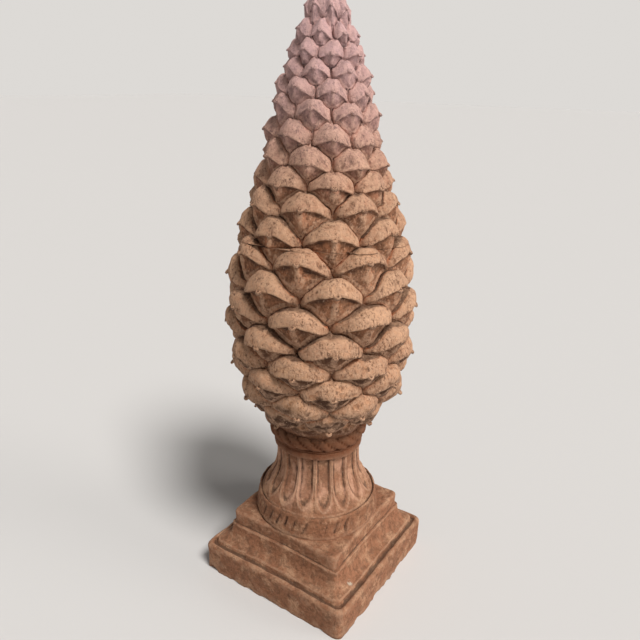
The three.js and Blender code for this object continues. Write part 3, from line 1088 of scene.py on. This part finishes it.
class Glaze:
    """Short names for the few kinds of node that the clay uses."""

    def __init__(self, name):
        self.material = bpy.data.materials.new(name)
        self.material.use_nodes = True
        self.nodes = self.material.node_tree.nodes
        self.links = self.material.node_tree.links
        self.shader = self.nodes["Principled BSDF"]
        self.place = self.nodes.new("ShaderNodeTexCoord").outputs["Object"]

    def feed(self, socket, value):
        if isinstance(value, bpy.types.NodeSocket):
            self.links.new(value, socket)
        else:
            socket.default_value = value

    def noise(self, per_metre, detail=4, rough=0.55, offset=0.0, stretch=(1, 1, 1)):
        mapping = self.nodes.new("ShaderNodeMapping")
        mapping.inputs["Location"].default_value = (offset, offset * 1.7, offset * 0.6)
        mapping.inputs["Scale"].default_value = stretch
        self.links.new(self.place, mapping.inputs["Vector"])
        texture = self.nodes.new("ShaderNodeTexNoise")
        texture.inputs["Scale"].default_value = per_metre
        texture.inputs["Detail"].default_value = detail
        texture.inputs["Roughness"].default_value = rough
        self.links.new(mapping.outputs["Vector"], texture.inputs["Vector"])
        return texture.outputs["Fac"]

    def cells(self, per_metre):
        texture = self.nodes.new("ShaderNodeTexVoronoi")
        texture.inputs["Scale"].default_value = per_metre
        self.links.new(self.place, texture.inputs["Vector"])
        return texture.outputs["Distance"]

    def distance_from(self, place):
        gap = self.nodes.new("ShaderNodeVectorMath")
        gap.operation = "DISTANCE"
        self.links.new(self.place, gap.inputs[0])
        gap.inputs[1].default_value = place
        return gap.outputs["Value"]

    def noted(self, name):
        attribute = self.nodes.new("ShaderNodeAttribute")
        attribute.attribute_name = name
        return attribute.outputs["Fac"]

    def ramp(self, value, low, high, to_low=0.0, to_high=1.0):
        """The value mapped from low..high to to_low..to_high, eased and held beyond the ends."""
        mapped = self.nodes.new("ShaderNodeMapRange")
        mapped.interpolation_type = "SMOOTHSTEP"
        self.feed(mapped.inputs["Value"], value)
        ends = {"From Min": low, "From Max": high, "To Min": to_low, "To Max": to_high}
        for socket, number in ends.items():
            mapped.inputs[socket].default_value = number
        return mapped.outputs["Result"]

    def sum(self, kind, first, second):
        node = self.nodes.new("ShaderNodeMath")
        node.operation = kind
        self.feed(node.inputs[0], first)
        self.feed(node.inputs[1], second)
        return node.outputs[0]

    def lay(self, share, under, over, way="MIX"):
        node = self.nodes.new("ShaderNodeMix")
        node.data_type = "RGBA"
        node.blend_type = way
        self.feed(node.inputs["Factor"], share)
        self.feed(node.inputs["A"], under)
        self.feed(node.inputs["B"], over)
        return node.outputs["Result"]

    def times(self, first, *others):
        for other in others:
            first = self.sum("MULTIPLY", first, other)
        return first

    def coat(self, share, red, green, blue, way="MIX"):
        """Lays one more colour over the body."""
        self.body = self.lay(share, self.body, hue(red, green, blue), way)

    def cone_share(self, on_pedestal, on_cone=1.0):
        """One share for the pedestal and another for the cone."""
        return self.ramp(self.on_cone, 0.0, 1.0, on_pedestal, on_cone)


# %% [markdown]
# Several coats share a pattern, so these are made once for each material: how high a point lies,
# how far its surface faces up, patches of a few centimetres, a mottle of under a centimetre,
# stains, the grain, and the pits left by burnt-out grit, which lie in groups.

# %% Shared patterns
def read_patterns(clay):
    place = clay.nodes.new("ShaderNodeSeparateXYZ")
    clay.links.new(clay.place, place.inputs[0])
    normal = clay.nodes.new("ShaderNodeSeparateXYZ")
    clay.links.new(clay.nodes.new("ShaderNodeNewGeometry").outputs["Normal"], normal.inputs[0])
    clay.height, clay.facing = place.outputs["Z"], normal.outputs["Z"]
    clay.on_cone = clay.ramp(clay.height, 0.36, 0.42)
    clay.patches = clay.noise(30, detail=5, rough=0.62, offset=1.3)
    clay.mottle = clay.noise(110, detail=6, rough=0.68)
    clay.stains = clay.noise(46, detail=6, rough=0.72, offset=9.0, stretch=(1, 1, 0.6))
    clay.grain = clay.noise(900, detail=3, rough=0.7)
    pits = clay.ramp(clay.cells(190), 0.20, 0.08)
    clay.pitted = clay.times(pits, clay.ramp(clay.noise(60, offset=5.0), 0.46, 0.60))


# %% [markdown]
# The body is redder in the pedestal, tan over the middle and pinkish towards the tip. Every scale
# has its own tone, and facets are warmer than pillows and darker, which is partly painted shade on
# what faces down. Then come brown mottling and stains, pale streaks down the neck, and the fresh
# orange-red clay that shows along the seams between scales.

# %% Body colours
def paint_body(clay):
    height, patches, on_cone = clay.height, clay.patches, clay.on_cone
    clay.body = clay.lay(on_cone, hue(133, 88, 60), hue(206, 161, 127))
    clay.coat(clay.times(clay.ramp(height, 0.72, 0.50, 0.0, 0.7), on_cone), 202, 151, 108)
    clay.coat(clay.ramp(height, 0.78, 1.02), 180, 138, 116)
    clay.coat(clay.ramp(height, 1.00, 1.22), 190, 154, 160)
    clay.coat(clay.ramp(clay.noise(7, detail=3, offset=3.1), 0.40, 0.66, 0.0, 0.45), 158, 108, 80)
    clay.coat(clay.ramp(clay.noted("tone"), 0.1, 1.0, 0.0, 0.42), 170, 120, 94)
    clay.coat(clay.ramp(patches, 0.46, 0.66, 0.0, 0.45), 206, 166, 132)
    # Facet colour: warmer clay, and darker as painted shade, since the facets face down.
    side = clay.lay(clay.ramp(patches, 0.40, 0.60), hue(164, 118, 88), hue(192, 116, 74))
    side = clay.lay(clay.ramp(height, 0.80, 1.20), side, hue(196, 154, 150))
    clay.body = clay.lay(clay.times(clay.noted("facet"), 0.85), clay.body, side)
    low_parts = clay.ramp(clay.noted("lift"), 0.95, 0.40)
    clay.coat(clay.times(low_parts, clay.ramp(patches, 0.34, 0.62, 0.2, 0.75), on_cone), 150, 106, 78)
    clay.coat(clay.ramp(clay.mottle, 0.47, 0.61, 0.0, 0.78), 112, 76, 54)
    stained = clay.ramp(clay.stains, 0.50, 0.62, 0.0, 0.66)
    clay.coat(clay.times(stained, clay.cone_share(0.7)), 104, 72, 53)
    on_neck = clay.times(clay.ramp(height, 0.205, 0.235), clay.ramp(height, 0.345, 0.300))
    streaks = clay.noise(34, detail=5, offset=12.0, stretch=(1, 1, 0.45))
    clay.coat(clay.times(on_neck, clay.ramp(streaks, 0.46, 0.62, 0.12, 0.72)), 202, 156, 130)
    seam = clay.sum("ADD", clay.noted("seam"), clay.ramp(clay.mottle, 0.3, 0.7, -0.3, 0.3))
    fresh = clay.ramp(clay.noise(38, detail=4, offset=6.0), 0.38, 0.60, 0.20, 0.85)
    clay.coat(clay.times(clay.ramp(seam, 0.15, 0.95), fresh), 192, 108, 64)


# %% [markdown]
# Grime and old damp are dark brown, and dark brown painted shade goes with them: on what faces
# down, most of all on the low scales, under the lips, in the deep valleys and in the creases.

# %% Grime and painted shade
def paint_grime_and_shade(clay):
    height, facing, patches, on_cone = clay.height, clay.facing, clay.patches, clay.on_cone
    # Painted shade: what faces down is darkened, as if lit from above.
    clay.coat(clay.times(clay.ramp(facing, 0.05, -0.60, 0.0, 0.40), on_cone), 104, 70, 48)
    # Painted shade, near black, on the undersides of the scales low on the cone.
    underside_shade = clay.ramp(facing, 0.22, -0.45, 0.0, 0.95)
    clay.coat(clay.times(underside_shade, clay.ramp(height, 0.70, 0.50), on_cone), 54, 34, 22)
    # Painted shade on the facets of the low scales.
    low_facet_shade = clay.ramp(height, 0.72, 0.42, 0.0, 0.88)
    clay.coat(clay.times(clay.noted("facet"), low_facet_shade, on_cone), 72, 46, 30)
    # Painted shadow under the lips, in the nicks and groove of the foot and round the buttons, with some
    # grime.
    uneven = clay.ramp(patches, 0.36, 0.56, 0.30, 0.92)
    clay.coat(clay.times(clay.noted("under_lip"), uneven), 66, 46, 35)
    # Painted shade and grime in the deep valleys and the fine creases.
    deep = clay.ramp(clay.noted("valley"), 0.42, 0.90)
    clay.coat(clay.times(deep, clay.ramp(clay.mottle, 0.30, 0.60, 0.45, 0.95)), 62, 42, 32)
    crease = clay.ramp(clay.noted("hollow"), 0.18, 0.70)
    clay.coat(clay.times(crease, clay.ramp(patches, 0.34, 0.58, 0.35, 0.92)), 68, 47, 36)


# %% [markdown]
# Raised edges and keels are rubbed pale, and dust lies on what faces up. One whitish fleck sits on
# the plinth's hollow, at its place in the photograph. Pits and specks, dark and pale, finish it,
# with a pink bloom over the upper rows and a dark red painted shadow of the cone on the collar and
# the rope.

# %% Wear, dust, specks and painted shadow
fleck_place = (0.1615, -0.1113, 0.0825)


def paint_wear_and_shadow(clay):
    height, mottle = clay.height, clay.mottle
    rubbed = clay.ramp(clay.noted("hollow"), -0.10, -0.60)
    rubbed = clay.times(rubbed, clay.ramp(mottle, 0.36, 0.60, 0.15, 0.8), clay.cone_share(0.45, 0.9))
    clay.coat(rubbed, 206, 166, 136)
    clay.coat(clay.times(clay.noted("keel"), 0.16), 200, 160, 132)
    dust = clay.times(clay.ramp(clay.facing, 0.20, 0.80), clay.ramp(clay.patches, 0.42, 0.64, 0.1, 0.45))
    clay.coat(clay.times(dust, clay.cone_share(0.4)), 204, 164, 132)
    near_fleck = clay.ramp(clay.distance_from(fleck_place), 0.0090, 0.0030, 0.0, 0.9)
    clay.coat(clay.times(near_fleck, clay.ramp(mottle, 0.42, 0.54)), 192, 182, 164)

    clay.coat(clay.times(clay.pitted, 0.75), 80, 56, 44)
    specks = clay.noise(250, detail=6, rough=0.72, offset=4.0, stretch=(1, 1, 0.55))
    speckled = clay.times(clay.ramp(clay.stains, 0.36, 0.58, 0.10, 1.0), clay.cone_share(0.30))
    clay.coat(clay.times(clay.ramp(specks, 0.53, 0.60, 0.0, 0.85), speckled), 84, 57, 43)
    pale_specks = clay.ramp(specks, 0.44, 0.34, 0.0, 0.55)
    clay.coat(clay.times(pale_specks, clay.cone_share(0.40)), 222, 184, 154)
    clay.coat(clay.ramp(clay.grain, 0.30, 0.70, 0.0, 0.20), 120, 84, 64)

    clay.coat(clay.ramp(height, 0.84, 1.20, 0.0, 0.66), 192, 150, 148, way="COLOR")
    clay.coat(clay.ramp(height, 0.88, 1.20, 0.0, 0.38), 216, 184, 186)
    # Painted shadow: the cone's shadow on the collar, the rope and the lowest scales.
    shadow_under_cone = clay.times(clay.ramp(height, 0.325, 0.345), clay.ramp(height, 0.440, 0.375))
    clay.coat(clay.times(shadow_under_cone, 0.70), 92, 42, 10)


# %% [markdown]
# One recipe makes the clay of both sections, since they were dug and fired together. Roughness
# stays high and varies with the mottle. Bumps stand for what is too fine for the mesh: the grain,
# the pits and the drag marks of a wet hand.

# %% Terracotta
def bump_surface(clay):
    """Adds the heights of all that is too fine for the mesh, in metres."""
    lumps = clay.times(clay.noise(150, detail=6, rough=0.70, offset=2.0), 0.0054)
    drag = clay.times(clay.noise(60, detail=3, stretch=(1, 1, 2.4)), 0.0024)
    surface = clay.sum("ADD", lumps, clay.times(clay.grain, 0.0008))
    surface = clay.sum("ADD", surface, drag)
    surface = clay.sum("SUBTRACT", surface, clay.times(clay.pitted, 0.0016))
    relief = clay.nodes.new("ShaderNodeBump")
    relief.inputs["Strength"].default_value = 0.9
    relief.inputs["Distance"].default_value = 1.0
    clay.links.new(surface, relief.inputs["Height"])
    clay.links.new(relief.outputs["Normal"], clay.shader.inputs["Normal"])


def terracotta(name):
    clay = Glaze(name)
    for step in (read_patterns, paint_body, paint_grime_and_shade, paint_wear_and_shadow, bump_surface):
        step(clay)
    clay.feed(clay.shader.inputs["Base Color"], clay.body)
    clay.feed(clay.shader.inputs["Roughness"], clay.ramp(clay.mottle, 0.3, 0.7, 0.82, 0.97))
    clay.shader.inputs["Specular IOR Level"].default_value = 0.25
    return clay.material


sections = (
    (lower_clay, "lower_section", "clay_lower"),
    (upper_clay, "upper_section", "clay_upper"),
)
for piece, node, slot in sections:
    piece.data.materials.clear()
    piece.data.materials.append(terracotta(f"terracotta_{node}"))
    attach(piece, "root")
    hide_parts(node)

# %% [markdown]
# The finial stands on a plain pale floor in soft light. A high soft sun, in front on the right,
# models the scales, since in the photograph their left facets are the darker ones. A weaker one,
# low and far to the right, brightens that side. The surroundings are pale near the floor, so that
# its far edge melts into them, and darker above, which leaves the modelling to the suns.

# %% Floor and light
start_clean()
bpy.ops.mesh.primitive_plane_add(size=60, location=(0, 0, 0))
floor = named("floor")
floor_paint = bpy.data.materials.new("pale_floor")
floor_paint.use_nodes = True
floor_shader = floor_paint.node_tree.nodes["Principled BSDF"]
floor_shader.inputs["Base Color"].default_value = (0.60, 0.595, 0.59, 1)
floor_shader.inputs["Roughness"].default_value = 0.9
floor.data.materials.append(floor_paint)


def soft_light(name, bearing_from_camera, rise, strength, softness, tint):
    """A sun, its bearing, rise and softness given in degrees."""
    light = bpy.data.lights.new(name, "SUN")
    light.energy = strength
    light.angle = math.radians(softness)
    light.color = tint
    lamp = bpy.data.objects.new(name, light)
    bearing, rise = camera_bearing + math.radians(bearing_from_camera), math.radians(rise)
    level_way = Vector((math.sin(bearing), -math.cos(bearing), 0))
    way = math.cos(rise) * level_way + math.sin(rise) * Vector((0, 0, 1))
    lamp.location = 4 * way
    lamp.rotation_euler = way.to_track_quat("Z", "Y").to_euler()
    bpy.context.scene.collection.objects.link(lamp)


soft_light("key_light", 36, 56, 3.35, 18, (1.0, 0.97, 0.94))
soft_light("side_light", 76, 12, 1.55, 26, (1.0, 0.95, 0.90))

surroundings = bpy.data.worlds.new("pale_surroundings")
surroundings.use_nodes = True
nodes, links = surroundings.node_tree.nodes, surroundings.node_tree.links
direction = nodes.new("ShaderNodeSeparateXYZ")
links.new(nodes.new("ShaderNodeTexCoord").outputs["Generated"], direction.inputs[0])
darkening = nodes.new("ShaderNodeMapRange")
for socket, number in (("From Min", 0.13), ("From Max", 0.34), ("To Min", 0.722), ("To Max", 0.20)):
    darkening.inputs[socket].default_value = number
links.new(direction.outputs["Z"], darkening.inputs["Value"])
links.new(darkening.outputs["Result"], nodes["Background"].inputs["Strength"])
nodes["Background"].inputs["Color"].default_value = (1.0, 0.968, 0.930, 1)
bpy.context.scene.world = surroundings
bpy.context.scene.view_settings.view_transform = "Standard"
